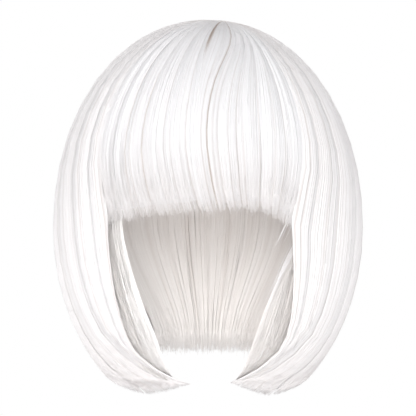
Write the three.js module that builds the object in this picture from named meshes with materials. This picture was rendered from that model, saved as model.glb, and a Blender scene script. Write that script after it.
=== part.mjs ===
// A bob wig with a straight fringe and long front points: a thin cap with the hair sewn to it.
// Millimetres, +Z up. The face looks along -Y. Left and right are as seen from the front.
// The origin is where the top of the head meets the inside of the cap.

import * as THREE from "three";

const { clamp, degToRad, lerp, radToDeg, smoothstep } = THREE.MathUtils;

// The head that the cap is cut for
const headWidth = 154;
const headFront = 94;
const headBack = 98;
const headHeight = 104; // top of the head to its widest level
const headTuck = 92; // widest level to where the lower head would close
const headFullness = 2.1; // 2 is an ellipse, more is squarer

// Cap
const capWall = 1.2;
const capEdgeFront = 66; // below the top of the head
const capEdgeSide = 104;
const capEdgeBack = 124;

// Outer form of the hair
const hairWidth = 233;
const hairFront = 112;
const hairBack = 126;
const hairLength = 279; // crown to the lowest point of the front locks
const widestDrop = 157; // crown to the widest level
const sideTuck = 147; // widest level to where the sides would close
const backTuck = 124; // the same at the back, which tucks in sooner
const hairFullness = 2.08;
const crownHair = 9; // hair that lies over the cap at the crown

// The crown root, from which all the hair falls
const rootRight = 12.5;
const rootForward = 5;
const rootGap = 1.3; // how far each piece starts from the root
const rootFall = 1.2; // degrees from the crown where the pieces start

// Walls and gaps
const hairWall = 9;
const hemWall = 2;
const frontEdgeWall = 3;
const seatGap = 0.8; // between the hair and the cap that it is sewn to
const partGap = 1.2; // between neighbouring pieces of hair
const seatedFall = 24; // degrees down to which the hair lies on the cap
const liftedFall = 56; // degrees where it has left the cap

// Locks
const lockRise = 2.2; // height of a lock over the groove beside it
const lockTip = 5; // how far a lock's tip passes the groove beside it
const columnsPerLock = 4;
const reliefStart = 6; // degrees from the crown where the grooves begin
const reliefFull = 34;

// Fringe
const fringeSweep = 5.5; // degrees that the middle tips swing to the right
const sweepDrop = 92; // crown to where the swing begins
const sweepCentre = -5; // azimuth of the widest swing
const sweepReach = 34; // degrees either side of it
const fringeCurl = 4; // how far the tips turn in

// Nape
const napeWall = 5;
const napeRootWall = 2.5; // where it is sewn to the cap
const napeRootDrop = 96; // crown to the top of the nape hair on the cap
const napeRootSpread = 72; // degrees either side of the back, at the cap
const napeHemWidth = 78;
const napeHemDepth = 72; // behind the crown
const napeHemBow = 9; // how far the hem's ends come forward
const napeGather = 1.35; // 1 draws the hair in evenly, more draws it in lower down

// Inner locks
const innerLockWidth = 30;
const innerLockWall = 4.5;
const innerLockSides = 8;

// Steps of the meshes
const fringeRows = 14;
const panelRows = 20;
const backRows = 14;
const napeRows = 11;
const capColumns = 36;
const capRows = 8;

// Back edge of the side panels, in degrees of azimuth from the front
const panelBack = 112;

// Where the fringe and then the front edge of each side panel runs, from the crown down.
// drop is a share of hairLength, azimuth is in degrees from the front.
const frontEdge = {
  left: [
    { drop: 0, azimuth: 51 },
    { drop: 0.2, azimuth: 50 },
    { drop: 0.36, azimuth: 47.5 },
    { drop: 0.44, azimuth: 44 },
    { drop: 0.53, azimuth: 40 },
    { drop: 0.66, azimuth: 38.8 },
    { drop: 0.8, azimuth: 37.9 },
    { drop: 0.88, azimuth: 36 },
    { drop: 0.93, azimuth: 31 },
    { drop: 0.958, azimuth: 24 },
    { drop: 0.968, azimuth: 17 },
    { drop: 0.975, azimuth: 9.6 },
  ],
  right: [
    { drop: 0, azimuth: 43 },
    { drop: 0.2, azimuth: 42 },
    { drop: 0.38, azimuth: 39 },
    { drop: 0.48, azimuth: 34.5 },
    { drop: 0.55, azimuth: 32 },
    { drop: 0.66, azimuth: 33.4 },
    { drop: 0.77, azimuth: 35.2 },
    { drop: 0.84, azimuth: 36 },
    { drop: 0.89, azimuth: 34 },
    { drop: 0.935, azimuth: 28 },
    { drop: 0.955, azimuth: 21 },
    { drop: 0.97, azimuth: 12.4 },
  ],
};

// Lower edge of the fringe: across from its left edge to its right, drop as a share of hairLength
const fringeHem = [
  { across: 0, drop: 0.545 },
  { across: 0.17, drop: 0.53 },
  { across: 0.29, drop: 0.52 },
  { across: 0.48, drop: 0.509 },
  { across: 0.67, drop: 0.509 },
  { across: 0.81, drop: 0.514 },
  { across: 0.9, drop: 0.53 },
  { across: 1, drop: 0.556 },
];

// Lower edge of a side panel: across from its front point to its back edge
const panelHem = [
  { across: 0, drop: 0.966 },
  { across: 0.1, drop: 0.981 },
  { across: 0.2, drop: 0.994 },
  { across: 0.33, drop: 1 },
  { across: 0.42, drop: 0.99 },
  { across: 0.5, drop: 0.979 },
  { across: 0.6, drop: 0.968 },
  { across: 0.8, drop: 0.953 },
  { across: 1, drop: 0.935 },
];

// Lower edge of the back hair: azimuth from its edge to the middle of the back
const backHem = [
  { azimuth: 112, drop: 0.935 },
  { azimuth: 130, drop: 0.918 },
  { azimuth: 150, drop: 0.906 },
  { azimuth: 180, drop: 0.903 },
];

// Locks across each piece: where each one ends, as a share of the piece's width, and how proud it is
const fringeLocks = [
  { end: 0.08, rise: 0.7 },
  { end: 0.16, rise: 1 },
  { end: 0.245, rise: 0.8 },
  { end: 0.345, rise: 0.6 },
  { end: 0.447, rise: 1 },
  { end: 0.538, rise: 1.3 },
  { end: 0.587, rise: 0.9 },
  { end: 0.672, rise: 1.2 },
  { end: 0.781, rise: 0.9 },
  { end: 0.9, rise: 1 },
  { end: 1, rise: 0.7 },
];
const panelLocks = [
  { end: 0.12, rise: 0.8 },
  { end: 0.3, rise: 1 },
  { end: 0.52, rise: 0.8 },
  { end: 0.76, rise: 1 },
  { end: 1, rise: 0.8 },
];
const backLocks = [
  { end: 0.1, rise: 0.8 },
  { end: 0.22, rise: 1 },
  { end: 0.36, rise: 0.8 },
  { end: 0.48, rise: 1.1 },
  { end: 0.6, rise: 0.9 },
  { end: 0.73, rise: 1 },
  { end: 0.87, rise: 0.8 },
  { end: 1, rise: 0.9 },
];
const napeLocks = [
  { end: 0.14, rise: 0.7 },
  { end: 0.26, rise: 1 },
  { end: 0.35, rise: 0.9 },
  { end: 0.46, rise: 1.1 },
  { end: 0.6, rise: 1.2 },
  { end: 0.74, rise: 1 },
  { end: 0.86, rise: 0.9 },
  { end: 1, rise: 0.7 },
];

// The inner locks from below the fringe to their tips. drop is a share of hairLength, inset and
// width are shares of hairWall and innerLockWidth, azimuth is in degrees from the front.
const innerLocks = {
  left: [
    { drop: 0.545, azimuth: 44.7, inset: 1.75, width: 0.72 },
    { drop: 0.63, azimuth: 42, inset: 1.75, width: 0.87 },
    { drop: 0.72, azimuth: 39.8, inset: 1.7, width: 0.97 },
    { drop: 0.79, azimuth: 37.8, inset: 1.6, width: 1 },
    { drop: 0.85, azimuth: 35.5, inset: 1.45, width: 1 },
    { drop: 0.9, azimuth: 32.9, inset: 1.2, width: 0.84 },
    { drop: 0.94, azimuth: 29, inset: 0.95, width: 0.53 },
    { drop: 0.965, azimuth: 22.1, inset: 0.8, width: 0.18 },
  ],
  right: [
    { drop: 0.56, azimuth: 46, inset: 1.75, width: 0.28 },
    { drop: 0.65, azimuth: 38.9, inset: 1.75, width: 0.38 },
    { drop: 0.71, azimuth: 37, inset: 1.7, width: 0.71 },
    { drop: 0.78, azimuth: 35, inset: 1.6, width: 0.97 },
    { drop: 0.84, azimuth: 33.2, inset: 1.45, width: 1 },
    { drop: 0.89, azimuth: 31.1, inset: 1.2, width: 0.95 },
    { drop: 0.94, azimuth: 26, inset: 0.95, width: 0.56 },
    { drop: 0.965, azimuth: 18.1, inset: 0.8, width: 0.15 },
  ],
};
const innerLockRoot = { azimuth: 56, fall: 74 }; // where an inner lock is sewn to the cap
const innerLockSeat = 0.12; // share of the lock's length that lies on the cap

// A form is a dome with a tapering lower half, its top at the height given
const headForm = {
  top: 0,
  width: headWidth,
  front: headFront,
  back: headBack,
  crown: headHeight,
  tuck: headTuck,
  backTuck: headTuck,
  fullness: headFullness,
};
const hairForm = {
  top: capWall + crownHair,
  width: hairWidth,
  front: hairFront,
  back: hairBack,
  crown: widestDrop,
  tuck: sideTuck,
  backTuck,
  fullness: hairFullness,
};
const middle = { x: 0, y: 0 };

// The point of a form at an azimuth from the front and a fall in degrees from the crown, 90 at its
// widest level. From the start point a line of hair runs straight in plan to the widest level.
function formPoint(form, start, azimuth, fall, grow) {
  const turn = degToRad(azimuth);
  const halfWidth = form.width / 2 + grow;
  const depthAt = (y) => (y < 0 ? form.front : form.back) + grow;
  const share = Math.sin(degToRad(Math.min(fall, 90))) ** (2 / form.fullness);
  const planX = share * Math.sin(turn) + ((1 - share) * start.x) / halfWidth;
  const planY = -share * Math.cos(turn) + ((1 - share) * start.y) / depthAt(start.y);
  const reach = Math.min(Math.hypot(planX, planY), 1);
  const height = (1 - reach ** form.fullness) ** (1 / form.fullness);
  const under = Math.sin(degToRad(Math.max(fall - 90, 0)));
  const sideShare = Math.sqrt(1 - under ** 2);
  const backShare = Math.sqrt(Math.max(1 - ((under * form.tuck) / form.backTuck) ** 2, 0));
  const depthShare = planY < 0 ? sideShare : backShare;
  const widestZ = form.top - form.crown;
  return new THREE.Vector3(
    planX * halfWidth * sideShare,
    planY * depthAt(planY) * depthShare,
    widestZ + height * (form.crown + grow) - under * form.tuck,
  );
}

// The fall at a drop below the top of a form
function fallAt(form, drop) {
  if (drop < form.crown) {
    return radToDeg(Math.acos((1 - drop / form.crown) ** (form.fullness / 2)));
  }
  return 90 + radToDeg(Math.asin(Math.min((drop - form.crown) / form.tuck, 1)));
}

// A table's column at a value of its key, on a smooth curve through the rows
function readTable(rows, key, column, at) {
  const last = rows.length - 1;
  const value = clamp(at, rows[0][key], rows[last][key]);
  const i = clamp(rows.findIndex((row) => row[key] >= value) - 1, 0, last - 1);
  const [before, from, to, after] = [i - 1, i, i + 1, i + 2].map((n) => rows[clamp(n, 0, last)]);
  const span = to[key] - from[key];
  const slope = (a, b) => (b[column] - a[column]) / Math.max(b[key] - a[key], Number.EPSILON);
  const into = (value - from[key]) / span;
  const startSlope = slope(before, to) * span;
  const endSlope = slope(from, after) * span;
  const rise = to[column] - from[column];
  const curve = (into - 1) * (startSlope * (into - 1) + endSlope * into) * into;
  return from[column] + rise * into ** 2 * (3 - 2 * into) + curve;
}

// Columns of a piece, with a few to each lock
function lockColumns(locks) {
  const columns = [0];
  let begin = 0;
  for (const lock of locks) {
    for (let k = 1; k <= columnsPerLock; k += 1) {
      columns.push(lerp(begin, lock.end, k / columnsPerLock));
    }
    begin = lock.end;
  }
  return columns;
}

// How round a piece stands at a share of its width: 0 in a groove, up to the lock's rise between
function lockBulge(locks, share) {
  const i = Math.max(
    locks.findIndex((lock) => share <= lock.end),
    0,
  );
  const begin = i > 0 ? locks[i - 1].end : 0;
  const into = clamp((share - begin) / (locks[i].end - begin), 0, 1);
  return locks[i].rise * Math.sin(Math.PI * into) ** 0.7;
}

function evenSteps(count) {
  return Array.from({ length: count + 1 }, (_, i) => i / count);
}

// A closed wall between a grid of outer points and one of inner points. Columns run to the right
// as seen from outside, rows run down.
function wallGeometry(columns, rows, outer, inner) {
  const points = [];
  const index = [];
  for (const surface of [outer, inner]) {
    for (const row of rows) {
      for (const column of columns) {
        points.push(surface(column, row));
      }
    }
  }
  const width = columns.length;
  const height = rows.length;
  const at = (layer, row, column) => (layer * height + row) * width + column;
  const addQuad = (a, b, c, d) => index.push(a, b, c, a, c, d);
  for (let row = 0; row < height - 1; row += 1) {
    for (let column = 0; column < width - 1; column += 1) {
      const corner = (layer, down, right) => at(layer, row + down, column + right);
      addQuad(corner(0, 0, 0), corner(0, 1, 0), corner(0, 1, 1), corner(0, 0, 1));
      addQuad(corner(1, 0, 0), corner(1, 0, 1), corner(1, 1, 1), corner(1, 1, 0));
    }
    const right = width - 1;
    addQuad(at(0, row, 0), at(1, row, 0), at(1, row + 1, 0), at(0, row + 1, 0));
    addQuad(at(0, row, right), at(0, row + 1, right), at(1, row + 1, right), at(1, row, right));
  }
  const bottom = height - 1;
  for (let column = 0; column < width - 1; column += 1) {
    addQuad(at(0, 0, column), at(0, 0, column + 1), at(1, 0, column + 1), at(1, 0, column));
    const next = column + 1;
    addQuad(at(0, bottom, column), at(1, bottom, column), at(1, bottom, next), at(0, bottom, next));
  }
  const geometry = new THREE.BufferGeometry().setFromPoints(points);
  geometry.setIndex(index);
  geometry.computeVertexNormals();
  return geometry;
}

// The root of a piece, a little away from the crown root on the piece's own side
function rootOf(azimuth) {
  const turn = degToRad(azimuth);
  return {
    x: rootRight + rootGap * Math.sin(turn),
    y: -rootForward - rootGap * Math.cos(turn),
  };
}

// How much of the hair's wall is left along a piece, which thins towards its hem
function wallAlong(along) {
  return lerp(hairWall, hemWall, smoothstep(along, 0.55, 1));
}

// Moves a point that would be in the cap straight out to where the hair lies on it
function clearOfCap(point) {
  const grow = capWall + seatGap;
  const centre = new THREE.Vector3(0, 0, headForm.top - headForm.crown);
  const arm = point.clone().sub(centre);
  const depth = (arm.y < 0 ? headForm.front : headForm.back) + grow;
  const reach = Math.hypot(arm.x / (headForm.width / 2 + grow), arm.y / depth);
  const power = arm.z > 0 ? headForm.fullness : 2;
  const height = Math.abs(arm.z) / (arm.z > 0 ? headForm.crown + grow : headForm.tuck);
  const share = (reach ** power + height ** power) ** (1 / power);
  return share < 1 ? arm.divideScalar(share).add(centre) : point;
}

// A point on the inside of the hair, which lies on the cap near the crown and leaves it lower down
function insidePoint(start, azimuth, fall, wall) {
  const onCap = formPoint(headForm, start, azimuth, fall, capWall + seatGap);
  const inHair = formPoint(hairForm, start, azimuth, fall, -wall);
  return clearOfCap(onCap.lerp(inHair, smoothstep(fall, seatedFall, liftedFall)));
}

function reliefAt(fall) {
  return lockRise * smoothstep(fall, reliefStart, reliefFull);
}

// Half the gap between two pieces, as an angle at the hair's widest level
const partAngle = radToDeg(partGap / hairWidth);

function edgeAzimuth(side, fall) {
  const height = formPoint(hairForm, middle, 0, fall, 0).z;
  return readTable(frontEdge[side], "drop", "azimuth", (hairForm.top - height) / hairLength);
}

// Cap: its edge is low at the back, higher over the ears and highest over the forehead
function capEdge(azimuth) {
  const turn = degToRad(azimuth);
  const end = Math.cos(turn) > 0 ? capEdgeFront : capEdgeBack;
  return lerp(capEdgeSide, end, Math.cos(turn) ** 2);
}

function capGeometry() {
  const points = [];
  const index = [];
  const grows = [capWall, 0];
  for (const grow of grows) {
    points.push(formPoint(headForm, middle, 0, 0, grow));
    for (let row = 1; row <= capRows; row += 1) {
      for (let column = 0; column < capColumns; column += 1) {
        const azimuth = (360 * column) / capColumns;
        const fall = (fallAt(headForm, capEdge(azimuth)) * row) / capRows;
        points.push(formPoint(headForm, middle, azimuth, fall, grow));
      }
    }
  }
  const layerSize = 1 + capRows * capColumns;
  const at = (layer, row, column) =>
    layer * layerSize + (row === 0 ? 0 : 1 + (row - 1) * capColumns + (column % capColumns));
  for (let column = 0; column < capColumns; column += 1) {
    const next = column + 1;
    index.push(at(0, 0, 0), at(0, 1, column), at(0, 1, next));
    index.push(at(1, 0, 0), at(1, 1, next), at(1, 1, column));
    for (let row = 1; row < capRows; row += 1) {
      const down = row + 1;
      index.push(at(0, row, column), at(0, down, column), at(0, down, next));
      index.push(at(0, row, column), at(0, down, next), at(0, row, next));
      index.push(at(1, row, column), at(1, down, next), at(1, down, column));
      index.push(at(1, row, column), at(1, row, next), at(1, down, next));
    }
    index.push(at(0, capRows, column), at(1, capRows, column), at(1, capRows, next));
    index.push(at(0, capRows, column), at(1, capRows, next), at(0, capRows, next));
  }
  const geometry = new THREE.BufferGeometry().setFromPoints(points);
  geometry.setIndex(index);
  geometry.computeVertexNormals();
  return geometry;
}

// Fringe: falls from the root to the brow, its middle tips swept to the right
function fringeGeometry() {
  const start = rootOf(0);
  const place = (share, along) => {
    const bulge = lockBulge(fringeLocks, share);
    const hem = readTable(fringeHem, "across", "drop", share) * hairLength;
    const lockEnd = hem + lockTip * (bulge - 1);
    const fall = lerp(rootFall, fallAt(hairForm, lockEnd), along);
    const left = -edgeAzimuth("left", fall) + partAngle;
    const right = edgeAzimuth("right", fall) - partAngle;
    const aside = (lerp(left, right, share) - sweepCentre) / sweepReach;
    const swept = smoothstep(fall, fallAt(hairForm, sweepDrop), fallAt(hairForm, hem));
    const swing = fringeSweep * swept * Math.cos(clamp(aside, -1, 1) * (Math.PI / 2));
    return { azimuth: lerp(left, right, share) + swing, fall, bulge };
  };
  const curlAt = (along) => fringeCurl * smoothstep(along, 0.7, 1) ** 2;
  const outer = (share, along) => {
    const { azimuth, fall, bulge } = place(share, along);
    return formPoint(hairForm, start, azimuth, fall, (bulge - 1) * reliefAt(fall) - curlAt(along));
  };
  const inner = (share, along) => {
    const { azimuth, fall } = place(share, along);
    return insidePoint(start, azimuth, fall, wallAlong(along) + lockRise + curlAt(along));
  };
  return wallGeometry(lockColumns(fringeLocks), evenSteps(fringeRows), outer, inner);
}

// Side panel: falls from the root over the side, its front locks drawn forward to a point
function panelGeometry(side) {
  const sign = side === "left" ? -1 : 1;
  const start = rootOf(sign * 90);
  const place = (share, along) => {
    const bulge = lockBulge(panelLocks, share);
    const hem = readTable(panelHem, "across", "drop", share) * hairLength;
    const lockEnd = hem + lockTip * 0.5 * (bulge - 1) * smoothstep(share, 0, 0.2);
    const fall = lerp(rootFall, fallAt(hairForm, lockEnd), along);
    const front = edgeAzimuth(side, fall) + partAngle;
    return { azimuth: sign * lerp(front, panelBack - partAngle, share), fall, bulge };
  };
  const outer = (share, along) => {
    const { azimuth, fall, bulge } = place(share, along);
    return formPoint(hairForm, start, azimuth, fall, (bulge - 1) * reliefAt(fall));
  };
  const inner = (share, along) => {
    const { azimuth, fall } = place(share, along);
    const full = wallAlong(along) + lockRise;
    const edge = lerp(Math.min(frontEdgeWall, full), full, smoothstep(share, 0, 0.3));
    const wall = lerp(full, edge, smoothstep(fall, liftedFall, 90));
    return insidePoint(start, azimuth, fall, wall);
  };
  const columns = lockColumns(panelLocks);
  return wallGeometry(sign < 0 ? columns.reverse() : columns, evenSteps(panelRows), outer, inner);
}

// Back hair: falls from the root over the back of the head to the nape
function backGeometry() {
  const start = rootOf(180);
  const place = (share, along) => {
    const bulge = lockBulge(backLocks, share);
    const azimuth = lerp(panelBack + partAngle, 360 - panelBack - partAngle, share);
    const fromFront = Math.min(azimuth, 360 - azimuth);
    const hem = readTable(backHem, "azimuth", "drop", fromFront) * hairLength;
    const lockEnd = hem + lockTip * 0.5 * (bulge - 1);
    return { azimuth, fall: lerp(rootFall, fallAt(hairForm, lockEnd), along), bulge };
  };
  const outer = (share, along) => {
    const { azimuth, fall, bulge } = place(share, along);
    return formPoint(hairForm, start, azimuth, fall, (bulge - 1) * reliefAt(fall));
  };
  const inner = (share, along) => {
    const { azimuth, fall } = place(share, along);
    return insidePoint(start, azimuth, fall, wallAlong(along) + lockRise);
  };
  return wallGeometry(lockColumns(backLocks), evenSteps(backRows), outer, inner);
}

// The proudest of the nape locks, whose inside meets the head
const napeLockMost = Math.max(...napeLocks.map((lock) => lock.rise));

// Nape hair: lies on the back of the cap, then gathers towards the middle of the nape
function napeGeometry() {
  const capEnd = capWall + crownHair + capEdgeBack;
  const place = (share, along, outward) => {
    const bulge = lockBulge(napeLocks, share);
    const aside = 2 * share - 1;
    const hem = readTable(backHem, "azimuth", "drop", 180) * hairLength - lockTip * (1.1 - bulge);
    const drop = lerp(napeRootDrop, hem, along);
    const onCapDrop = Math.min(drop, capEnd) - hairForm.top;
    const fall = fallAt(headForm, onCapDrop);
    const azimuth = 180 + aside * napeRootSpread;
    const point = formPoint(headForm, middle, azimuth, fall, capWall + seatGap + outward);
    const hemX = (-aside * napeHemWidth) / 2;
    const hemY = napeHemDepth - napeHemBow * aside ** 2 + outward;
    const gathered = smoothstep(drop, capEnd - lockTip, hem) ** napeGather;
    point.set(lerp(point.x, hemX, gathered), lerp(point.y, hemY, gathered), hairForm.top - drop);
    return point;
  };
  const shownAt = (along) => lockRise * smoothstep(along, 0.25, 0.5);
  const outer = (share, along) => {
    const upper = lerp(napeRootWall, napeWall, smoothstep(along, 0, 0.35));
    const wall = lerp(upper, hemWall, smoothstep(along, 0.5, 1));
    return place(share, along, wall + napeLockMost * shownAt(along));
  };
  const inner = (share, along) => {
    return place(share, along, (napeLockMost - lockBulge(napeLocks, share)) * shownAt(along));
  };
  return wallGeometry(lockColumns(napeLocks), evenSteps(napeRows), outer, inner);
}

// Inner lock: sewn to the cap at the temple, hanging behind the front edge of a side panel
function innerLockGeometry(side) {
  const sign = side === "left" ? -1 : 1;
  const half = innerLockWall / 2;
  const table = innerLocks[side];
  const seat = [];
  for (const share of evenSteps(2)) {
    const fall = innerLockRoot.fall + share * innerLockSeat * 90;
    const azimuth = sign * innerLockRoot.azimuth;
    const centre = formPoint(headForm, middle, azimuth, fall, capWall + seatGap + half);
    seat.push({ centre, azimuth, width: table[0].width * innerLockWidth });
  }
  const hanging = table.map((row) => {
    const azimuth = sign * row.azimuth;
    const fall = fallAt(hairForm, row.drop * hairLength);
    const centre = formPoint(hairForm, middle, azimuth, fall, -row.inset * hairWall);
    return { centre, azimuth, width: row.width * innerLockWidth };
  });
  const rows = [...seat, ...hanging];
  const curve = new THREE.CatmullRomCurve3(
    rows.map((row) => row.centre),
    false,
    "centripetal",
  );
  const points = [];
  const stepsPerRow = 2;
  const rings = (rows.length - 1) * stepsPerRow;
  for (let ring = 0; ring <= rings; ring += 1) {
    const at = ring / stepsPerRow;
    const low = Math.min(Math.floor(at), rows.length - 2);
    const azimuth = degToRad(lerp(rows[low].azimuth, rows[low + 1].azimuth, at - low));
    const width = lerp(rows[low].width, rows[low + 1].width, at - low);
    const centre = curve.getPoint(ring / rings);
    const along = curve.getTangent(ring / rings);
    const across = new THREE.Vector3(Math.cos(azimuth), Math.sin(azimuth), 0);
    across.addScaledVector(along, -across.dot(along)).normalize();
    const outward = new THREE.Vector3().crossVectors(across, along).negate().normalize();
    const thin = lerp(1, hemWall / innerLockWall, smoothstep(ring / rings, 0.5, 1));
    for (let k = 0; k < innerLockSides; k += 1) {
      const turn = (2 * Math.PI * k) / innerLockSides;
      const point = centre.clone().addScaledVector(across, (Math.cos(turn) * width) / 2);
      points.push(point.addScaledVector(outward, Math.sin(turn) * half * thin));
    }
  }
  const index = [];
  const at = (ring, k) => ring * innerLockSides + (k % innerLockSides);
  for (let ring = 0; ring < rings; ring += 1) {
    for (let k = 0; k < innerLockSides; k += 1) {
      index.push(at(ring, k), at(ring, k + 1), at(ring + 1, k + 1));
      index.push(at(ring, k), at(ring + 1, k + 1), at(ring + 1, k));
    }
  }
  for (let k = 1; k < innerLockSides - 1; k += 1) {
    index.push(at(0, 0), at(0, k + 1), at(0, k));
    index.push(at(rings, 0), at(rings, k), at(rings, k + 1));
  }
  const geometry = new THREE.BufferGeometry().setFromPoints(points);
  geometry.setIndex(index);
  geometry.computeVertexNormals();
  return geometry;
}

const hairMaterial = new THREE.MeshStandardMaterial({ color: 0xf6f4f5, roughness: 0.42, metalness: 0 });
const shadeMaterial = new THREE.MeshStandardMaterial({ color: 0xeeeae8, roughness: 0.5, metalness: 0 });
const capMaterial = new THREE.MeshStandardMaterial({ color: 0xd9d0ca, roughness: 0.9, metalness: 0 });

function addPiece(name, geometry, material) {
  const mesh = new THREE.Mesh(geometry, material);
  mesh.name = name;
  wig.add(mesh);
}

const wig = new THREE.Group();
addPiece("cap", capGeometry(), capMaterial);
addPiece("bangs", fringeGeometry(), hairMaterial);
addPiece("side_panel_left", panelGeometry("left"), hairMaterial);
addPiece("side_panel_right", panelGeometry("right"), hairMaterial);
addPiece("back_hair", backGeometry(), hairMaterial);
addPiece("nape_hair", napeGeometry(), shadeMaterial);
addPiece("inner_lock_left", innerLockGeometry("left"), hairMaterial);
addPiece("inner_lock_right", innerLockGeometry("right"), hairMaterial);

export default wig;
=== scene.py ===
import bmesh
import bpy
import numpy as np
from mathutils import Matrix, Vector


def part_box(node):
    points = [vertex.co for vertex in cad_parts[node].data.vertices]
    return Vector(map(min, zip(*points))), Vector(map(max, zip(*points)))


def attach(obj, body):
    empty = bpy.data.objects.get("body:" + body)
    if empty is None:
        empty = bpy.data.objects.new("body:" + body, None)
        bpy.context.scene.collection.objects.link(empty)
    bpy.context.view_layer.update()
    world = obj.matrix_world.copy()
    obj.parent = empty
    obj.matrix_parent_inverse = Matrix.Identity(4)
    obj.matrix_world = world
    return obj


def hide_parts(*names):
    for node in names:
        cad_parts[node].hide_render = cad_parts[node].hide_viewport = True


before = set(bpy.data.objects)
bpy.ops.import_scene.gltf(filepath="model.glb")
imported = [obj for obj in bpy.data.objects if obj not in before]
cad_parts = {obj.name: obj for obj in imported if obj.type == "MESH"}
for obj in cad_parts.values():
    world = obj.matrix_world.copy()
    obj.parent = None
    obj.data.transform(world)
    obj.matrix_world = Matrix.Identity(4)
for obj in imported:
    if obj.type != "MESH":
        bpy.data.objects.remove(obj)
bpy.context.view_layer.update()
print("frame loaded")

# the overall form, measured on the frame
leftBox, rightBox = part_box("side_panel_left"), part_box("side_panel_right")
fringeBox, backBox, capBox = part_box("bangs"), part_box("back_hair"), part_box("cap")
hairForm = {
    "top": fringeBox[1][2],
    "halfWidth": (rightBox[1][0] - leftBox[0][0]) / 2,
    "front": -fringeBox[0][1],
    "back": backBox[1][1],
    "crown": 0.157,  # crown to the widest level
    "tuck": 0.147,  # widest level to where the sides would close
    "backTuck": 0.124,
    "fullness": 2.08,
}
headForm = {
    "top": 0,
    "halfWidth": (capBox[1][0] - capBox[0][0]) / 2 - 0.0012,
    "front": -capBox[0][1] - 0.0012,
    "back": capBox[1][1] - 0.0012,
    "crown": 0.104,
    "tuck": 0.092,
    "backTuck": 0.092,
    "fullness": 2.1,
}
hairLength = hairForm["top"] - leftBox[0][2]
crownRoot = (0.0125, -0.005)  # where all the hair starts, seen from above
rootFall = 0.5  # degrees from the crown

# where the fringe ends and each side panel begins: share of the length down, degrees from the front
edgeLeft = [(0, 51), (0.2, 50), (0.36, 47.5), (0.44, 44), (0.53, 40), (0.66, 38.8), (0.8, 37.9),
            (0.88, 36), (0.93, 31), (0.958, 24), (0.968, 17), (0.975, 9.6)]
edgeRight = [(0, 43), (0.2, 42), (0.38, 39), (0.48, 34.5), (0.55, 32), (0.66, 33.4), (0.77, 35.2),
             (0.84, 36), (0.89, 34), (0.935, 28), (0.955, 21), (0.97, 12.4)]
panelBack = 112  # degrees from the front where the back hair takes over


def smooth(value, low, high):
    share = np.clip((value - low) / (high - low), 0, 1)
    return share * share * (3 - 2 * share)


def mix(a, b, share):
    return a + (b - a) * share


# a smooth curve through a short table of (key, value)
def readTable(rows, at):
    keys, values = np.array(rows, float).T
    last = len(keys) - 1
    at = np.clip(at, keys[0], keys[-1])
    low = np.clip(np.searchsorted(keys, at) - 1, 0, last - 1)
    before, after = np.clip(low - 1, 0, last), np.clip(low + 2, 0, last)
    span = keys[low + 1] - keys[low]
    into = (at - keys[low]) / span
    startSlope = (values[low + 1] - values[before]) / (keys[low + 1] - keys[before]) * span
    endSlope = (values[after] - values[low]) / (keys[after] - keys[low]) * span
    rise = values[low + 1] - values[low]
    bend = (into - 1) * (startSlope * (into - 1) + endSlope * into) * into
    return values[low] + rise * into**2 * (3 - 2 * into) + bend


# a point of a form at degrees from the front and a fall in degrees from the crown
def formPoint(form, start, azimuth, fall, grow):
    azimuth, fall, grow = np.broadcast_arrays(azimuth, fall, grow)
    turn = np.radians(azimuth)
    halfWidth = form["halfWidth"] + grow
    startDepth = (form["front"] if start[1] < 0 else form["back"]) + grow
    share = np.sin(np.radians(np.minimum(fall, 90))) ** (2 / form["fullness"])
    planX = share * np.sin(turn) + (1 - share) * start[0] / halfWidth
    planY = -share * np.cos(turn) + (1 - share) * start[1] / startDepth
    reach = np.minimum(np.hypot(planX, planY), 1)
    height = (1 - reach ** form["fullness"]) ** (1 / form["fullness"])
    under = np.sin(np.radians(np.maximum(fall - 90, 0)))
    sideShare = np.sqrt(1 - under**2)
    backShare = np.sqrt(np.maximum(1 - (under * form["tuck"] / form["backTuck"]) ** 2, 0.01))
    depth = np.where(planY < 0, form["front"], form["back"]) + grow
    depthShare = np.where(planY < 0, sideShare, backShare)
    widestZ = form["top"] - form["crown"]
    z = widestZ + height * (form["crown"] + grow) - under * form["tuck"]
    return np.stack([planX * halfWidth * sideShare, planY * depth * depthShare, z], axis=-1)


def fallAt(form, drop):
    drop = np.asarray(drop, float)
    upper = np.clip(1 - drop / form["crown"], 0, 1) ** (form["fullness"] / 2)
    lower = np.clip((drop - form["crown"]) / form["tuck"], 0, 1)
    return np.degrees(np.where(drop < form["crown"], np.arccos(upper), np.pi / 2 + np.arcsin(lower)))


def dropShare(fall):
    return (hairForm["top"] - formPoint(hairForm, (0, 0), 0, fall, 0)[..., 2]) / hairLength


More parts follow.
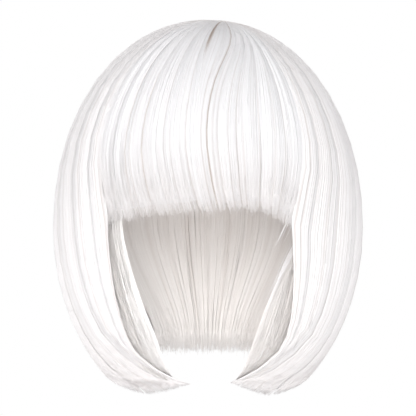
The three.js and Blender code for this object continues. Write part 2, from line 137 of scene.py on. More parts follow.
# Each piece of hair. locks: where each one ends across the piece, how proud it is.
# lines: the fine dark lines, painted shade in the grooves between locks, at the crown and by the panels'
# front edges, each with share across, width, depth and the falls where it starts and ends.
fringe = {
    "locks": [(0.07, 0.7), (0.145, 1), (0.228, 0.8), (0.33, 0.6), (0.43, 1), (0.525, 1.3),
              (0.572, 0.9), (0.66, 1.2), (0.77, 0.9), (0.905, 1), (1, 0.7)],
    "lines": [(0.145, 0.003, 0.25, 35, 80), (0.17, 0.003, 0.15, 50, 88), (0.228, 0.003, 0.35, 45, 82),
              (0.33, 0.004, 0.12, 20, 70), (0.36, 0.003, 0.15, 60, 95), (0.43, 0.003, 0.15, 20, 90),
              (0.465, 0.006, 0.8, 0, 30), (0.5, 0.003, 0.15, 40, 90), (0.525, 0.004, 0.5, 1, 84),
              (0.55, 0.006, 0.1, 30, 90), (0.572, 0.004, 0.12, 40, 90), (0.62, 0.003, 0.12, 30, 90),
              (0.66, 0.003, 0.3, 40, 92), (0.69, 0.004, 0.12, 60, 95), (0.77, 0.003, 0.25, 35, 92),
              (0.85, 0.005, 0.1, 30, 90), (0.905, 0.003, 0.15, 20, 90)],
    "rootBow": 14.6,  # degrees that the hair right of the root bows out
    "bowFall": 18,  # where it bows most, degrees from the crown
    "bowReach": 21,
    "bowStart": (0.455, 0.53),  # shares across between which the bow sets in
    "bowFade": 0.6,  # share across from which it fades
    "hem": [(0, 0.545), (0.17, 0.53), (0.29, 0.52), (0.48, 0.509), (0.67, 0.509), (0.81, 0.514),
            (0.9, 0.53), (1, 0.556)],
    "sweep": 5.5,  # degrees that the middle tips swing to the right
    "sweepDrop": 0.068,  # crown to where the swing begins
    "sweepCentre": -5,  # degrees from the front where the swing is widest
    "sweepReach": 34,
    "curl": 0.0015,  # how far the tips turn in
    "curlStart": 0.7,  # share along
}
panel = {
    "locks": [(0.12, 0.8), (0.3, 1), (0.52, 0.8), (0.76, 1), (1, 0.8)],
    "lines": [(0.014, 0.006, 0.2, 74, 125), (0.05, 0.004, 0.15, 40, 150), (0.12, 0.003, 0.12, 20, 150),
              (0.21, 0.003, 0.18, 30, 140), (0.3, 0.004, 0.12, 20, 150), (0.41, 0.003, 0.15, 40, 150),
              (0.52, 0.004, 0.15, 20, 150), (0.66, 0.003, 0.12, 30, 150), (0.76, 0.004, 0.15, 20, 150),
              (0.9, 0.003, 0.12, 30, 150)],
    "sweep": 0.75,  # how strongly the ends lean to the front
    "sweepStart": 0.5,  # share along
    "leftShort": 0.0012,  # the left panel's hem is this much higher than the right's
    "hem": [(0, 0.966), (0.1, 0.984), (0.2, 1), (0.33, 1.012), (0.42, 1.006), (0.5, 0.997),
            (0.6, 0.985), (0.7, 0.972), (0.8, 0.96), (1, 0.936)],
}
frontPoint = {
    "inset": 0.001,  # tip under the form
    "start": 0.8,  # share along where the hair begins to draw in
    "edgeStart": 0.91,  # the same at the front edge
    "edge": (0.02, 0.3),  # shares across between which the start moves
    "drawn": 0.88,
    "power": 1.3,
    "fade": (0.12, 0.6),  # shares across between which the draw fades
}
back = {
    "locks": [(0.1, 0.8), (0.22, 1), (0.36, 0.8), (0.48, 1.1), (0.6, 0.9), (0.73, 1), (0.87, 0.8),
              (1, 0.9)],
    "lines": [(0.07, 0.004, 0.08, 40, 150), (0.1, 0.003, 0.12, 20, 110), (0.19, 0.004, 0.1, 60, 150),
              (0.27, 0.003, 0.12, 30, 150), (0.36, 0.005, 0.08, 20, 150), (0.41, 0.003, 0.1, 70, 150),
              (0.48, 0.003, 0.14, 20, 120), (0.56, 0.004, 0.1, 40, 150), (0.65, 0.003, 0.12, 20, 150),
              (0.73, 0.005, 0.08, 60, 150), (0.82, 0.003, 0.12, 30, 150), (0.9, 0.004, 0.1, 20, 110)],
    "hem": [(112, 0.935), (130, 0.918), (150, 0.906), (180, 0.903)],
}
nape = {
    "locks": [(0.14, 0.7), (0.26, 1), (0.35, 0.9), (0.46, 1.1), (0.6, 1.2), (0.74, 1), (0.86, 0.9),
              (1, 0.7)],
    "lines": [(0.125, 0.014, 0.09, 20, 75), (0.225, 0.012, 0.1, 20, 90), (0.32, 0.01, 0.05, 20, 70),
              (0.41, 0.014, 0.1, 10, 80), (0.51, 0.01, 0.05, 20, 80), (0.585, 0.012, 0.12, 10, 90),
              (0.68, 0.01, 0.05, 20, 80), (0.77, 0.012, 0.1, 20, 90), (0.89, 0.014, 0.09, 20, 90)],
    "rootDrop": 0.096,  # crown to where the nape hair is sewn on
    "spread": 72,  # degrees either side of the back, at the cap
    "hem": 0.2495,  # crown to the hem
    "hemHalf": 0.039,  # half the hem's width
    "hemDepth": 0.072,  # behind the crown
    "hemBow": 0.009,  # how far the hem's ends come forward
    "capEnd": 0.1342,  # crown to the cap's edge
    "offCap": 0.002,
    "gather": 1.35,  # 1 draws the hair in evenly, more draws it in lower down
    "rise": 0.0012,  # height of its locks
    "riseStart": (0.25, 0.5),  # shares along between which they rise
}
lock = {
    "rise": 0.0016,  # height of a lock over the groove beside it
    "tip": 0.003,  # how far a lock's tip passes the groove beside it
    "start": (6, 34),  # degrees from the crown between which the grooves deepen
    "round": 0.9,  # 1 is a sine's section, less is fuller
    "depth": 0.5,
}
lineFade = (6, 8)  # degrees over which a painted dark line sets in and fades


def lockShape(locks, share):
    ends = np.array([end for end, rise in locks])
    rises = np.array([rise for end, rise in locks])
    begins = np.concatenate([[0], ends[:-1]])
    i = np.clip(np.searchsorted(ends, share), 0, len(ends) - 1)
    into = np.clip((share - begins[i]) / (ends[i] - begins[i]), 0, 1)
    bulge = 1 - (1 - rises[i] * np.sin(np.pi * into) ** lock["round"]) * lock["depth"]
    middle = (begins[i] + ends[i]) / 2
    return bulge, middle


def lineShade(lines, share, fall):
    shade = np.zeros_like(share)
    fadeIn, fadeOut = lineFade
    for at, width, depth, begin, end in lines:
        shown = smooth(fall, begin - fadeIn, begin + fadeIn)
        shown = shown * (1 - smooth(fall, end - fadeOut, end + fadeOut))
        shade += depth * shown * np.exp(-(((share - at) / width) ** 2))
    return shade


def reliefAt(fall):
    return lock["rise"] * smooth(fall, *lock["start"])


# the pieces: each takes a share across and a share along, and gives azimuth and fall
def fringePlace(share, along):
    bulge, _ = lockShape(fringe["locks"], share)
    hem = readTable(fringe["hem"], share) * hairLength
    hemFall = fallAt(hairForm, hem + lock["tip"] * (bulge - 1))
    fall = mix(rootFall, hemFall, along)
    down = dropShare(fall)
    left, right = -readTable(edgeLeft, down), readTable(edgeRight, down)
    azimuth = mix(left, right, share)
    aside = np.clip((azimuth - fringe["sweepCentre"]) / fringe["sweepReach"], -1, 1)
    sweepFall = fallAt(hairForm, fringe["sweepDrop"])
    swept = np.clip((fall - sweepFall) / (hemFall - sweepFall), 0, 1.1) ** 2
    azimuth = azimuth + fringe["sweep"] * swept * np.cos(aside * np.pi / 2)
    bowed = smooth(share, *fringe["bowStart"]) * (1 - smooth(share, fringe["bowFade"], 1))
    bow = np.exp(-(((fall - fringe["bowFall"]) / fringe["bowReach"]) ** 2))
    return azimuth + fringe["rootBow"] * bowed * bow, fall


def fringeCurl(along):
    return -fringe["curl"] * smooth(along, fringe["curlStart"], 1) ** 2


def panelPlace(sign):
    edge = edgeLeft if sign < 0 else edgeRight

    def place(share, along):
        leaned = smooth(along, panel["sweepStart"], 1.05) * share * (1 - share) * panel["sweep"]
        share = share - leaned * (1 - 0.5 * share)
        bulge, _ = lockShape(panel["locks"], share)
        hem = readTable(panel["hem"], share) * hairLength
        if sign < 0:
            hem = hem - panel["leftShort"] * smooth(share, 0.05, 0.25)
        hem = hem + lock["tip"] * 0.5 * (bulge - 1) * smooth(share, 0, 0.2)
        fall = mix(rootFall, fallAt(hairForm, hem), along)
        azimuth = mix(readTable(edge, dropShare(fall)), panelBack, share)
        return sign * azimuth, fall

    return place


# the hair of the front points is drawn in to the tip, the front edge later than the rest
def drawToTip(points, share, along, sign):
    edge = edgeLeft if sign < 0 else edgeRight
    down, azimuth = edge[-1]
    tipFall = fallAt(hairForm, down * hairLength)
    tip = formPoint(hairForm, crownRoot, sign * azimuth, tipFall, -frontPoint["inset"])
    start = mix(frontPoint["edgeStart"], frontPoint["start"], smooth(share, *frontPoint["edge"]))
    drawn = frontPoint["drawn"] * smooth(along, start, 1.02) ** frontPoint["power"]
    drawn = drawn * (1 - smooth(share, *frontPoint["fade"]))
    return mix(points, tip, drawn[..., None])


def backPlace(share, along):
    bulge, _ = lockShape(back["locks"], share)
    azimuth = mix(panelBack, 360 - panelBack, share)
    hem = readTable(back["hem"], np.minimum(azimuth, 360 - azimuth)) * hairLength
    fall = mix(rootFall, fallAt(hairForm, hem + lock["tip"] * 0.5 * (bulge - 1)), along)
    return azimuth, fall


def napePoint(share, along, outward):
    share, along, outward = np.broadcast_arrays(share, along, outward)
    aside = 2 * share - 1
    drop = mix(nape["rootDrop"], nape["hem"], along)
    fall = fallAt(headForm, np.minimum(drop, nape["capEnd"]) - hairForm["top"])
    point = formPoint(headForm, (0, 0), 180 + aside * nape["spread"], fall, nape["offCap"] + outward)
    gathered = smooth(drop, nape["capEnd"] - 0.005, nape["hem"]) ** nape["gather"]
    x = mix(point[..., 0], -aside * nape["hemHalf"], gathered)
    y = mix(point[..., 1], nape["hemDepth"] - nape["hemBow"] * aside**2 + outward, gathered)
    return np.stack([x, y, hairForm["top"] - drop], axis=-1)


# meshes
def newObject(name, mesh, material, replaced=None):
    piece = bpy.data.objects.new(name, mesh)
    bpy.context.scene.collection.objects.link(piece)
    mesh.materials.append(material)
    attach(piece, "root")
    if replaced:
        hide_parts(replaced)
    return piece


# the skins under the strands
skin = {
    "under": 0.0009,  # how far the skin lies under the outermost strands
    "relief": 1.3,  # its grooves against the strands' own
    "short": 0.982,  # the skin ends this far along, the strands alone make the hem
    "fringeShort": 0.975,
    "napeShort": 0.965,
    "wall": 0.007,
    "napeWall": -0.0035,  # the nape's skin faces the opening, so its wall goes the other way
    "thin": 0.12,  # share of the wall left at the hem and at a panel's front edge
    "thinStart": 0.55,  # share along
    "edge": 0.25,  # share across over which a panel's wall thins to its front edge
}


# a closed skin of one piece: a grid moved onto the hair, given a wall that thins to the hem
def skinOver(name, point, columns, rows, wall, material, replaced, thinEdge=None):
    bm = bmesh.new()
    bm.loops.layers.uv.new("strands")
    bmesh.ops.create_grid(bm, x_segments=columns, y_segments=rows, size=0.5, calc_uvs=True)
    flat = np.array([v.co for v in bm.verts])
    share, along = flat[:, 0] + 0.5, 0.5 - flat[:, 1]
    placed = point(share, along)
    for v, co in zip(bm.verts, placed):
        v.co = co
    for face in bm.faces:
        face.smooth = True
    mesh = bpy.data.meshes.new(name)
    bm.to_mesh(mesh)
    bm.free()
    piece = newObject(name, mesh, material, replaced)
    group = piece.vertex_groups.new(name="wall")
    weights = mix(1, skin["thin"], smooth(along, skin["thinStart"], 1))
    if thinEdge is not None:
        weights = weights * mix(skin["thin"], 1, smooth(np.abs(share - thinEdge), 0, skin["edge"]))
    for i, weight in enumerate(weights):
        group.add([i], float(weight), "REPLACE")
    solid = piece.modifiers.new("wall", "SOLIDIFY")
    solid.thickness = wall
    solid.offset = -1
    solid.vertex_group = "wall"
    solid.use_rim = True
    return piece


# many closed three-sided strands as one mesh, with a tone and painted shade for each of their points
def strandMesh(name, centres, radii, outward, tonesAndShade):
    sides = 3
    count, steps = radii.shape
    along = np.gradient(centres, axis=1)
    along /= np.linalg.norm(along, axis=-1, keepdims=True)
    side = np.cross(along, outward)
    side /= np.linalg.norm(side, axis=-1, keepdims=True)
    up = np.cross(side, along)
    turn = 2 * np.pi * np.arange(sides) / sides + np.pi / 6
    ring = side[:, :, None] * np.cos(turn)[:, None] + up[:, :, None] * np.sin(turn)[:, None]
    points = centres[:, :, None] + ring * radii[:, :, None, None]
    first = (np.arange(count)[:, None] * steps + np.arange(steps - 1)) * sides
    corner = first[..., None] + np.arange(sides)
    following = first[..., None] + (np.arange(sides) + 1) % sides
    quads = np.stack([corner, corner + sides, following + sides, following], -1).reshape(-1, 4)
    rootRing = np.arange(count)[:, None] * steps * sides + np.arange(sides)
    tipRing = rootRing[:, ::-1] + (steps - 1) * sides
    caps = np.concatenate([rootRing, tipRing])
    loops = np.concatenate([quads.ravel(), caps.ravel()]).astype(np.int32)
    starts = np.concatenate([np.arange(len(quads)) * 4, len(quads) * 4 + np.arange(len(caps)) * 3])
    mesh = bpy.data.meshes.new(name)
    mesh.vertices.add(count * steps * sides)
    mesh.vertices.foreach_set("co", points.astype(np.float32).ravel())
    mesh.loops.add(len(loops))
    mesh.loops.foreach_set("vertex_index", loops)
    mesh.polygons.add(len(starts))
    mesh.polygons.foreach_set("loop_start", starts.astype(np.int32))
    mesh.update(calc_edges=True)
    mesh.shade_smooth()
    toneAndShade = mesh.attributes.new("toneAndShade", "FLOAT", "POINT")
    toneAndShade.data.foreach_set("value", np.repeat(tonesAndShade.ravel(), sides).astype(np.float32))
    return mesh


def outwardOf(centres):
    middle = np.array([0, 0, hairForm["top"] - hairForm["crown"]])
    out = centres - middle
    out[..., 2] *= 0.6
    return out / np.linalg.norm(out, axis=-1, keepdims=True)


# what all the strands share
strand = {
    "jitter": 0.8,  # share of a step that the rows of points are moved by near the root
    "jitterFade": (0.1, 0.3),  # shares along between which the rows come into line
    "lengthStart": 0.85,  # share along from which a short strand is shortened
    "drawStart": 0.1,
    "clumpTone": 0.05,
    "clumpToneShare": 0.3,
    "toneSpread": 0.014,
    "darkShare": 0.08,  # so many strands are darker
    "darkBy": 0.07,
    "shade": 0.03,  # painted shade of the lower strands and of a clump's edges
    "rootShade": 0.36,  # painted shadow where all the hair meets at the crown
    "rootReach": 8,  # degrees from the crown
    "liftStart": (8, 40),  # degrees from the crown between which clumps rise
    "tipStart": 0.72,  # share along from which the tips get painted shade
    "taperStart": 0.6,
    "fine": 0.35,  # thickness left at a tip
    "rootFine": 0.55,  # and at a root
}


# where strands start across a piece, drawn a little into locks and finer clumps towards the tips
def spreadStrands(random, look, locks):
    count, steps = look["strands"], look["steps"]
    share = (np.arange(count) + random.random(count)) / count
    along = np.linspace(0, 1, steps)[None]
    shift = (random.random(count)[:, None] - 0.5) * strand["jitter"] / (steps - 1)
    along = along + shift * (along > 0) * (1 - smooth(along, *strand["jitterFade"]))
    along = 1 - (1 - along ** look.get("bunch", 1)) ** look.get("dense", 1)
    length = 1 + random.normal(0, look["ragged"], count) - look["short"] * random.random(count) ** 3
    along = along * mix(1, length[:, None], smooth(along, strand["lengthStart"], 1))
    clumps = look["clumps"]
    edges = np.sort((np.arange(clumps) + random.random(clumps) * 0.8) / clumps)
    i = np.clip(np.searchsorted(edges, share), 1, clumps - 1)
    clumpMiddle = (edges[i - 1] + edges[i]) / 2
    clumpHalf = (edges[i] - edges[i - 1]) / 2
    _, lockMiddle = lockShape(locks, share)
    aside = (share - clumpMiddle) / clumpHalf
    drawn = smooth(along, strand["drawStart"], 1)
    toClump = (clumpMiddle - share)[:, None] * look["toClump"] * drawn
    toLock = (lockMiddle - share)[:, None] * look["toLock"] * drawn**2
    phase, waves = random.random((2, count))
    wander = look["wander"] * np.sin(phase[:, None] * 2 * np.pi + along * (1 + 2 * waves[:, None]))
    stray = random.normal(0, look["stray"], count)[:, None] * along**2
    here = np.clip(share[:, None] + toClump + toLock + wander * drawn + stray, 0.001, 0.999)
    over = look.get("over", 0)
    here = mix(-over, 1 + over, here)
    lift = look["clumpLift"] * (1 - np.clip(np.abs(aside), 0, 1) ** 2)[:, None]
    clumpTone = random.normal(0, strand["clumpTone"], clumps + 1)[i]
    return here, along, lift, clumpTone, aside


def strandTonesAndShade(random, look, clumpTone, depth, aside):
    count = look["strands"]
    toneAndShade = look["toneAndShade"] + random.normal(0, strand["toneSpread"], count)
    toneAndShade = toneAndShade + clumpTone * strand["clumpToneShare"]
    toneAndShade -= (random.random(count) < strand["darkShare"]) * strand["darkBy"]
    # painted shade: the lower strands and a clump's edges are darker
    toneAndShade -= strand["shade"] * depth + strand["shade"] * np.clip(np.abs(aside), 0, 1) ** 3
    return toneAndShade


def taper(along, thick, fine):
    rootEnd = mix(strand["rootFine"], 1, smooth(along, 0, 0.15))
    return rootEnd * mix(1, fine, smooth(along, strand["taperStart"], 1)) * thick


# a thickness for each strand of a piece
def thickness(random, count, radius):
    return radius * (0.75 + 0.5 * random.random(count))[:, None]


# strands over the outside of a piece
def layOutside(name, place, piece, look, material, curl=None, tipSign=None):
    random = np.random.default_rng(look["seed"])
    locks = piece["locks"]
    here, along, lift, clumpTone, aside = spreadStrands(random, look, locks)
    count = len(here)
    azimuth, fall = place(here, along)
    bulge, _ = lockShape(locks, here)
    depth = random.random(count) ** 1.4
    grow = (bulge - 1) * reliefAt(fall) + lift * smooth(fall, *strand["liftStart"])
    grow = grow - depth[:, None] * look["layers"] * smooth(along, 0.02, 0.3)
    if curl:
        grow = grow + curl(along)
    centres = formPoint(hairForm, crownRoot, azimuth, fall, grow)
    if tipSign:
        centres = drawToTip(centres, here, along, tipSign)
    thick = thickness(random, count, look["radius"])
    tonesAndShade = strandTonesAndShade(random, look, clumpTone, depth, aside)[:, None] * np.ones_like(along)
    # painted shadow at the crown, painted shade in the grooves and towards the tips
    tonesAndShade = tonesAndShade - strand["rootShade"] * np.exp(-fall / strand["rootReach"])
    tonesAndShade = tonesAndShade - lineShade(piece["lines"], here, fall)
    tonesAndShade = tonesAndShade - look.get("tipShade", 0) * smooth(along, strand["tipStart"], 1)
    mesh = strandMesh(name, centres, taper(along, thick, strand["fine"]), outwardOf(centres), tonesAndShade)
    return newObject(name, mesh, material)


# materials
# a hair colour ramp driven by the strands' tone, which holds both their own tone and painted shade
def tonedHair(name, dark, light, roughness):
    material = bpy.data.materials.new(name)
    material.use_nodes = True
    nodes, links = material.node_tree.nodes, material.node_tree.links
    shader = nodes["Principled BSDF"]
    toneAndShade = nodes.new("ShaderNodeAttribute")
    toneAndShade.attribute_name = "toneAndShade"
    ramp = nodes.new("ShaderNodeValToRGB")
    ramp.color_ramp.elements[0].position = 0.25
    ramp.color_ramp.elements[0].color = (*dark, 1)
    ramp.color_ramp.elements[1].position = 0.95
    ramp.color_ramp.elements[1].color = (*light, 1)
    links.new(toneAndShade.outputs["Fac"], ramp.inputs["Fac"])
    links.new(ramp.outputs["Color"], shader.inputs["Base Color"])
    shader.inputs["Roughness"].default_value = roughness
    shader.inputs["Specular IOR Level"].default_value = 0.35
    return material


# streaks along the hair, from the skin's own UV map
def streakedHair(name, dark, light, acrossScale, alongScale):
    material = bpy.data.materials.new(name)
    material.use_nodes = True
    nodes, links = material.node_tree.nodes, material.node_tree.links
    shader = nodes["Principled BSDF"]
    uv = nodes.new("ShaderNodeUVMap")
    uv.uv_map = "strands"
    stretch = nodes.new("ShaderNodeMapping")
    stretch.inputs["Scale"].default_value = (acrossScale, alongScale, 1)
    noise = nodes.new("ShaderNodeTexNoise")
    noise.inputs["Scale"].default_value = 1
    noise.inputs["Detail"].default_value = 3
    ramp = nodes.new("ShaderNodeValToRGB")
    ramp.color_ramp.elements[0].position = 0.3
    ramp.color_ramp.elements[0].color = (*dark, 1)
    ramp.color_ramp.elements[1].position = 0.65
    ramp.color_ramp.elements[1].color = (*light, 1)
    bump = nodes.new("ShaderNodeBump")
    bump.inputs["Strength"].default_value = 0.5
    bump.inputs["Distance"].default_value = 0.0006
    links.new(uv.outputs["UV"], stretch.inputs["Vector"])
    links.new(stretch.outputs["Vector"], noise.inputs["Vector"])
    links.new(noise.outputs["Fac"], ramp.inputs["Fac"])
    links.new(ramp.outputs["Color"], shader.inputs["Base Color"])
    links.new(noise.outputs["Fac"], bump.inputs["Height"])
    links.new(bump.outputs["Normal"], shader.inputs["Normal"])
    shader.inputs["Roughness"].default_value = 0.5
    return material


# the inner strand, inner lock strand and inner skin are warmer copies of the white hair, the inner skin also
# darker: painted shade of the inside
whiteStrand = tonedHair("white strand", (0.46, 0.37, 0.32), (0.93, 0.925, 0.935), 0.5)
shadedInnerStrand = tonedHair("inner strand", (0.56, 0.49, 0.45), (0.93, 0.905, 0.885), 0.5)
shadedLockStrand = tonedHair("inner lock strand", (0.5, 0.42, 0.37), (0.94, 0.916, 0.9), 0.5)
whiteSkin = streakedHair("white hair under the strands", (0.8, 0.78, 0.78), (0.9, 0.89, 0.89), 220, 2)
shadedInnerSkin = streakedHair("inner hair under the strands", (0.76, 0.71, 0.68), (0.88, 0.85, 0.83), 160, 2)


def netMaterial():
    material = bpy.data.materials.new("cap net")
    material.use_nodes = True
    nodes, links = material.node_tree.nodes, material.node_tree.links
    shader = nodes["Principled BSDF"]
    place = nodes.new("ShaderNodeTexCoord")
    cells = nodes.new("ShaderNodeTexVoronoi")
    cells.feature = "DISTANCE_TO_EDGE"
    cells.inputs["Scale"].default_value = 700
    ramp = nodes.new("ShaderNodeValToRGB")
    ramp.color_ramp.elements[0].position = 0.05
    ramp.color_ramp.elements[0].color = (0.74, 0.67, 0.61, 1)
    ramp.color_ramp.elements[1].position = 0.2
    ramp.color_ramp.elements[1].color = (0.5, 0.42, 0.37, 1)
    links.new(place.outputs["Object"], cells.inputs["Vector"])
    links.new(cells.outputs["Distance"], ramp.inputs["Fac"])
    links.new(ramp.outputs["Color"], shader.inputs["Base Color"])
    shader.inputs["Roughness"].default_value = 0.9
    return material


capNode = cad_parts["cap"]
capNode.data.materials.clear()
capNode.data.materials.append(netMaterial())


def skinGrow(locks, share, fall):
    bulge, _ = lockShape(locks, share)
    return (bulge - 1) * reliefAt(fall) * skin["relief"] - skin["under"]


def fringeSkin(share, along):
    azimuth, fall = fringePlace(mix(0.004, 0.996, share), along * skin["fringeShort"])
    grow = skinGrow(fringe["locks"], share, fall) + fringeCurl(along)
    return formPoint(hairForm, crownRoot, azimuth, fall, grow)


skinOver("bangs_form", fringeSkin, 132, 40, skin["wall"], whiteSkin, "bangs")


def panelSkin(sign):
    place = panelPlace(sign)

    def point(share, along):
        share = share if sign > 0 else 1 - share
        edge = mix(0.002, 0.018, smooth(along, 0.62, 0.72))  # clear of the strands' edge
        along = along * skin["short"]
        azimuth, fall = place(mix(edge, 1.003, share), along)
        grow = skinGrow(panel["locks"], share, fall)
        return drawToTip(formPoint(hairForm, crownRoot, azimuth, fall, grow), share, along, sign)

    return point


for side, sign in (("left", -1), ("right", 1)):
    node = f"side_panel_{side}"
    frontEdge = 0 if sign > 0 else 1
    skinOver(f"{node}_form", panelSkin(sign), 70, 60, skin["wall"], whiteSkin, node,
             frontEdge)


def backSkin(share, along):
    azimuth, fall = backPlace(mix(-0.004, 1.004, share), along * skin["short"])
    return formPoint(hairForm, crownRoot, azimuth, fall, skinGrow(back["locks"], share, fall))


skinOver("back_hair_form", backSkin, 110, 44, skin["wall"], whiteSkin, "back_hair")


def napeSkin(share, along):
    bulge, _ = lockShape(nape["locks"], share)
    shown = nape["rise"] * smooth(along, *nape["riseStart"])
    return napePoint(share, along * skin["napeShort"], (1.2 - bulge) * shown + 0.0008)


skinOver("nape_hair_form", napeSkin, 90, 30, skin["napeWall"], shadedInnerSkin, "nape_hair")
print("skins made")

# How the strands of each piece lie. toClump, toLock: how far they draw in towards the tips.
# wander, stray: how far they leave their line, as shares across. ragged, short: uneven lengths.
# bunch, dense: 1 spaces a strand's points evenly, more has them closer at the tip.
# The base tone is set lower on the side panels as painted shade; tipShade is painted shade towards the tips.
fringeLook = {
    "seed": 11, "strands": 2250, "steps": 15, "radius": 0.00024, "clumps": 120, "toClump": 0.16,
    "toLock": 0.03, "wander": 0.001, "stray": 0.0016, "clumpLift": 0.0001, "layers": 0.0003,
    "ragged": 0.009, "short": 0.05, "bunch": 0.9, "over": 0.012, "toneAndShade": 0.93, "tipShade": 0.14,
}
panelLook = {
    "seed": 21, "strands": 1600, "steps": 20, "radius": 0.00028, "clumps": 70, "toClump": 0.1,
    "toLock": 0.05, "wander": 0.0007, "stray": 0.001, "clumpLift": 0.0001, "layers": 0.00022,
    "ragged": 0.003, "short": 0.025, "dense": 1.35, "toneAndShade": 0.84,
    "tipShade": 0.06,
}
backLook = {
    "seed": 31, "strands": 1600, "steps": 15, "radius": 0.00031, "clumps": 90, "toClump": 0.1,
    "toLock": 0.05, "wander": 0.001, "stray": 0.0016, "clumpLift": 0.0001, "layers": 0.0003,
    "ragged": 0.004, "short": 0.05, "over": 0.008, "dense": 1.25, "toneAndShade": 0.92,
}
layOutside("bangs_strands", fringePlace, fringe, fringeLook, whiteStrand, fringeCurl)
for side, sign in (("left", -1), ("right", 1)):
    look = dict(panelLook, seed=panelLook["seed"] + sign)
    layOutside(f"side_panel_{side}_strands", panelPlace(sign), panel, look, whiteStrand, tipSign=sign)
layOutside("back_hair_strands", backPlace, back, backLook, whiteStrand)
print("outer strands laid")

# Its base tone is lower than the outer hair's as painted shade of the inside; rootShade is the fringe's
# painted shadow on its top, rightShade painted shade on its right side.
napeLook = {
    "seed": 41, "strands": 1300, "steps": 11, "radius": 0.0003, "clumps": 44, "toClump": 0.15,
    "toLock": 0.04, "wander": 0.001, "stray": 0.0016, "clumpLift": 0.0001, "layers": 0.0003,
    "ragged": 0.012, "short": 0.06, "toneAndShade": 0.85, "rootShade": 0.1, "rightShade": 0.12,
}


def layNape():
    random = np.random.default_rng(napeLook["seed"])
    here, along, lift, clumpTone, aside = spreadStrands(random, napeLook, nape["locks"])
    count = len(here)
    bulge, _ = lockShape(nape["locks"], here)
    depth = random.random(count) ** 1.4
    shown = nape["rise"] * smooth(along, *nape["riseStart"])
    outward = (1.2 - bulge) * shown - lift + depth[:, None] * napeLook["layers"]
    centres = napePoint(here, along, outward)
    thick = thickness(random, count, napeLook["radius"])
    tonesAndShade = strandTonesAndShade(random, napeLook, clumpTone, depth, aside)[:, None] * np.ones_like(along)
    tonesAndShade = tonesAndShade - lineShade(nape["lines"], here, along * 100)  # here the lines' ends are percents along
    # painted shadow under the fringe at the top, and painted shade on the right
    tonesAndShade = tonesAndShade - napeLook["rootShade"] * (1 - smooth(along, 0.28, 0.62))
    tonesAndShade = tonesAndShade - napeLook["rightShade"] * smooth(1 - 2 * here, 0.5, 0.85)
    radii = taper(along, thick, strand["fine"])
    mesh = strandMesh("nape_hair_strands", centres, radii, outwardOf(centres), tonesAndShade)
    newObject("nape_hair_strands", mesh, shadedInnerStrand)


layNape()

# the strips of hair behind the front edges: share down, degrees from the front, inset, width
innerLock = {
    "left": [(0.545, 44.9, 1.75, 0.7), (0.63, 42.8, 1.75, 0.77), (0.72, 40.4, 1.7, 0.91),
             (0.79, 38, 1.6, 0.98), (0.85, 35.5, 1.45, 1), (0.9, 32.9, 1.2, 0.84),
             (0.94, 29, 0.95, 0.53), (0.965, 22.1, 0.8, 0.18)],
    "right": [(0.56, 46, 1.75, 0.28), (0.65, 38.9, 1.75, 0.38), (0.71, 37, 1.7, 0.71),
              (0.78, 35, 1.6, 0.97), (0.84, 33.2, 1.45, 1), (0.89, 31.1, 1.2, 0.95),
              (0.94, 26, 0.95, 0.56), (0.965, 18.1, 0.8, 0.15)],
    "width": 0.03,
    "wall": 0.0045,
    "inset": 0.009,
    "rootAzimuth": 56,
    "rootFalls": (74, 79.4, 84.8),
    "offCap": 0.0043,
    "uneven": 0.07,  # share of the length that the shortest strands lack
    "strands": {"left": 600, "right": 520},
    # the right lock's tone is set lower as painted shade
    "toneAndShade": {"left": 0.95, "right": 0.81},
    "wedge": {"left": -0.11, "right": -0.03},  # painted shade added to the part behind the panel's edge
    "join": 0.004,  # how far the edge behind the panel bends out to meet it
    "bright": 0.42,  # share of the width that catches the light, from the free edge
    "steps": 17,
    "radius": 0.00022,
}


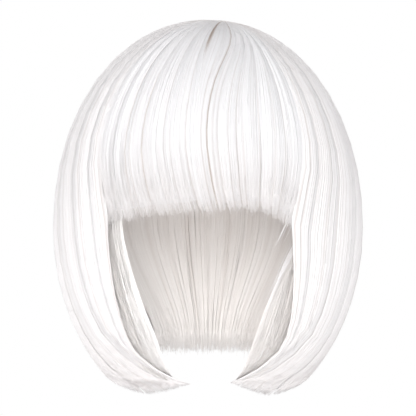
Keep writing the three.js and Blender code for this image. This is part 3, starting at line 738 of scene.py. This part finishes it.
def layInnerLock(side, sign):
    random = np.random.default_rng(51 + sign)
    rows = np.array(innerLock[side])
    falls = np.array(innerLock["rootFalls"])
    seat = formPoint(headForm, (0, 0), sign * innerLock["rootAzimuth"], falls, innerLock["offCap"])
    hang = formPoint(hairForm, (0, 0), sign * rows[:, 1], fallAt(hairForm, rows[:, 0] * hairLength),
                     -rows[:, 2] * innerLock["inset"])
    path = np.concatenate([seat, hang])
    azimuths = np.radians(sign * np.concatenate([np.full(len(falls), innerLock["rootAzimuth"]), rows[:, 1]]))
    widths = np.concatenate([np.full(len(falls), rows[0, 3]), rows[:, 3]]) * innerLock["width"]
    reach = np.concatenate([[0], np.cumsum(np.linalg.norm(np.diff(path, axis=0), axis=1))])
    reach /= reach[-1]
    count, steps = innerLock["strands"][side], innerLock["steps"]
    length = 1 - innerLock["uneven"] * random.random(count) ** 2
    along = np.linspace(0, 1, steps)[None] * length[:, None]
    columns = [readTable(list(zip(reach, path[:, k])), along) for k in range(3)]
    centre = np.stack(columns, axis=-1)
    azimuth = readTable(list(zip(reach, azimuths)), along)
    width = readTable(list(zip(reach, widths)), along)
    across = np.stack([np.cos(azimuth), np.sin(azimuth), np.zeros_like(azimuth)], axis=-1)
    outward = np.stack([np.sin(azimuth), -np.cos(azimuth), np.zeros_like(azimuth)], axis=-1)
    spot, layer = random.random((2, count)) - 0.5
    spread = np.sin(spot * np.pi)[:, None] / 2
    thin = mix(1, 0.45, smooth(along, 0.5, 1)) * innerLock["wall"]
    wave = 0.02 * np.sin(along * 7 + random.random(count)[:, None] * 6)
    centres = centre + across * ((spread + wave) * width)[..., None]
    centres += outward * (layer[:, None] * thin * np.cos(spot * np.pi)[:, None])[..., None]
    fromEdge = (1 + sign * np.sin(spot * np.pi)) / 2  # 0 at the free edge, 1 behind the panel
    joined = smooth(fromEdge, 0.4, 1)[:, None] * smooth(along, 0.3, 0.5)
    centres += outward * (innerLock["join"] * joined)[..., None]
    thick = thickness(random, count, innerLock["radius"])
    # painted shade: the part behind the panel's edge, the strands behind the others and the top next to the
    # panel are darker
    shade = smooth(fromEdge, innerLock["bright"] - 0.12, innerLock["bright"] + 0.15)
    tonesAndShade = innerLock["toneAndShade"][side] + random.normal(0, 0.03, count) + 0.08 * layer
    tonesAndShade += innerLock["wedge"][side] * shade
    tonesAndShade = tonesAndShade[:, None] - 0.1 * smooth(fromEdge, 0.78, 1)[:, None] * (1 - smooth(along, 0.45, 0.8))
    name = f"inner_lock_{side}"
    mesh = strandMesh(f"{name}_strands", centres, taper(along, thick, 0.3), outward, tonesAndShade)
    newObject(f"{name}_strands", mesh, shadedLockStrand, name)


layInnerLock("left", -1)
layInnerLock("right", 1)

# a few loose hairs in the right of the opening: share down, degrees from the front
wisps = {
    "paths": [[(0.5, 36), (0.55, 31.8), (0.58, 29.5), (0.607, 27.3)],
              [(0.59, 37), (0.651, 32), (0.7, 27.8), (0.75, 24.6)],
              [(0.6, 36), (0.64, 32.6), (0.68, 30.2), (0.73, 28.4)]],
    "hairs": 5,
    "inset": 0.006,
    "apart": 0.0016,
    "steps": 12,
    "radius": 0.00016,
}


def layWisps():
    random = np.random.default_rng(61)
    strands = []
    for path in wisps["paths"]:
        rows = np.array(path)
        keys = np.linspace(0, 1, len(rows))
        along = np.linspace(0, 1, wisps["steps"])
        down = readTable(list(zip(keys, rows[:, 0])), along)
        azimuth = readTable(list(zip(keys, rows[:, 1])), along)
        for i in range(wisps["hairs"]):
            fall = fallAt(hairForm, (down + random.normal(0, 0.002)) * hairLength)
            sideways = np.degrees(random.normal(0, wisps["apart"]) / hairForm["halfWidth"])
            strands.append(formPoint(hairForm, (0, 0), azimuth + sideways, fall, -wisps["inset"]))
    centres = np.array(strands)
    count = len(centres)
    radii = taper(np.linspace(0, 1, wisps["steps"])[None] * np.ones((count, 1)), wisps["radius"], 0.3)
    tonesAndShade = np.full((count, wisps["steps"]), 0.9)
    mesh = strandMesh("wisps", centres, radii, outwardOf(centres), tonesAndShade)
    newObject("wisps", mesh, whiteStrand)


layWisps()
print("inner strands laid")

# floor, light and camera
view = {
    "pixel": 0.00075,  # metres at the crown's own distance
    "pixels": 416,
    "crownPixel": 20,
    "distance": 3,
    "floor": -0.62,
}


def makeFloor():
    bm = bmesh.new()
    bmesh.ops.create_circle(bm, cap_ends=True, segments=96, radius=2.2)
    bmesh.ops.translate(bm, vec=(0, 0, view["floor"]), verts=bm.verts)
    mesh = bpy.data.meshes.new("floor")
    bm.to_mesh(mesh)
    bm.free()
    floor = bpy.data.objects.new("floor", mesh)
    bpy.context.scene.collection.objects.link(floor)
    material = bpy.data.materials.new("pale floor")
    material.use_nodes = True
    shader = material.node_tree.nodes["Principled BSDF"]
    shader.inputs["Base Color"].default_value = (0.93, 0.93, 0.93, 1)
    shader.inputs["Roughness"].default_value = 0.9
    mesh.materials.append(material)


def makeWorld():
    world = bpy.data.worlds.new("studio")
    bpy.context.scene.world = world
    world.use_nodes = True
    nodes, links = world.node_tree.nodes, world.node_tree.links
    background = nodes["Background"]
    direction = nodes.new("ShaderNodeTexCoord")
    split = nodes.new("ShaderNodeSeparateXYZ")
    ramp = nodes.new("ShaderNodeValToRGB")
    ramp.color_ramp.elements[0].position = 0.15
    ramp.color_ramp.elements[0].color = (1, 1, 1, 1)
    ramp.color_ramp.elements[1].position = 0.85
    ramp.color_ramp.elements[1].color = (0.52, 0.52, 0.54, 1)
    links.new(direction.outputs["Generated"], split.inputs["Vector"])
    links.new(split.outputs["Z"], ramp.inputs["Fac"])
    links.new(ramp.outputs["Color"], background.inputs["Color"])
    background.inputs["Strength"].default_value = 1


def addLight(name, place, size, power, target=(0, 0, -0.12), spread=180):
    data = bpy.data.lights.new(name, "AREA")
    data.shape = "DISK"
    data.size = size
    data.energy = power
    data.spread = np.radians(spread)
    lamp = bpy.data.objects.new(name, data)
    bpy.context.scene.collection.objects.link(lamp)
    lamp.location = place
    lamp.visible_camera = False
    lamp.rotation_euler = (Vector(target) - Vector(place)).to_track_quat("-Z", "Y").to_euler()


def makeCamera():
    data = bpy.data.cameras.new("camera")
    across = view["pixel"] * view["pixels"]
    data.sensor_width = 36
    data.lens = data.sensor_width * view["distance"] / across
    data.clip_end = 50
    camera = bpy.data.objects.new("camera", data)
    bpy.context.scene.collection.objects.link(camera)
    middle = hairForm["top"] - (view["pixels"] / 2 - view["crownPixel"]) * view["pixel"]
    camera.location = (0, -view["distance"], middle)
    camera.rotation_euler = (np.pi / 2, 0, 0)
    bpy.context.scene.camera = camera


makeFloor()
makeWorld()
addLight("key", (-0.7, -2.2, 0.45), 1.2, 7)
addLight("front", (-0.15, -2.4, 0.22), 0.9, 13.5)
addLight("back", (0.2, 2.4, 0.4), 1.4, 14)
addLight("low front", (0, -0.8, -0.54), 0.3, 2.6, target=(0, 0, -0.22))
addLight("inside", (-0.01, -0.045, -0.2), 0.09, 0.024, target=(0, 0.08, -0.16), spread=150)
makeCamera()
bpy.context.scene.view_settings.view_transform = "Standard"
print("stage and camera set")
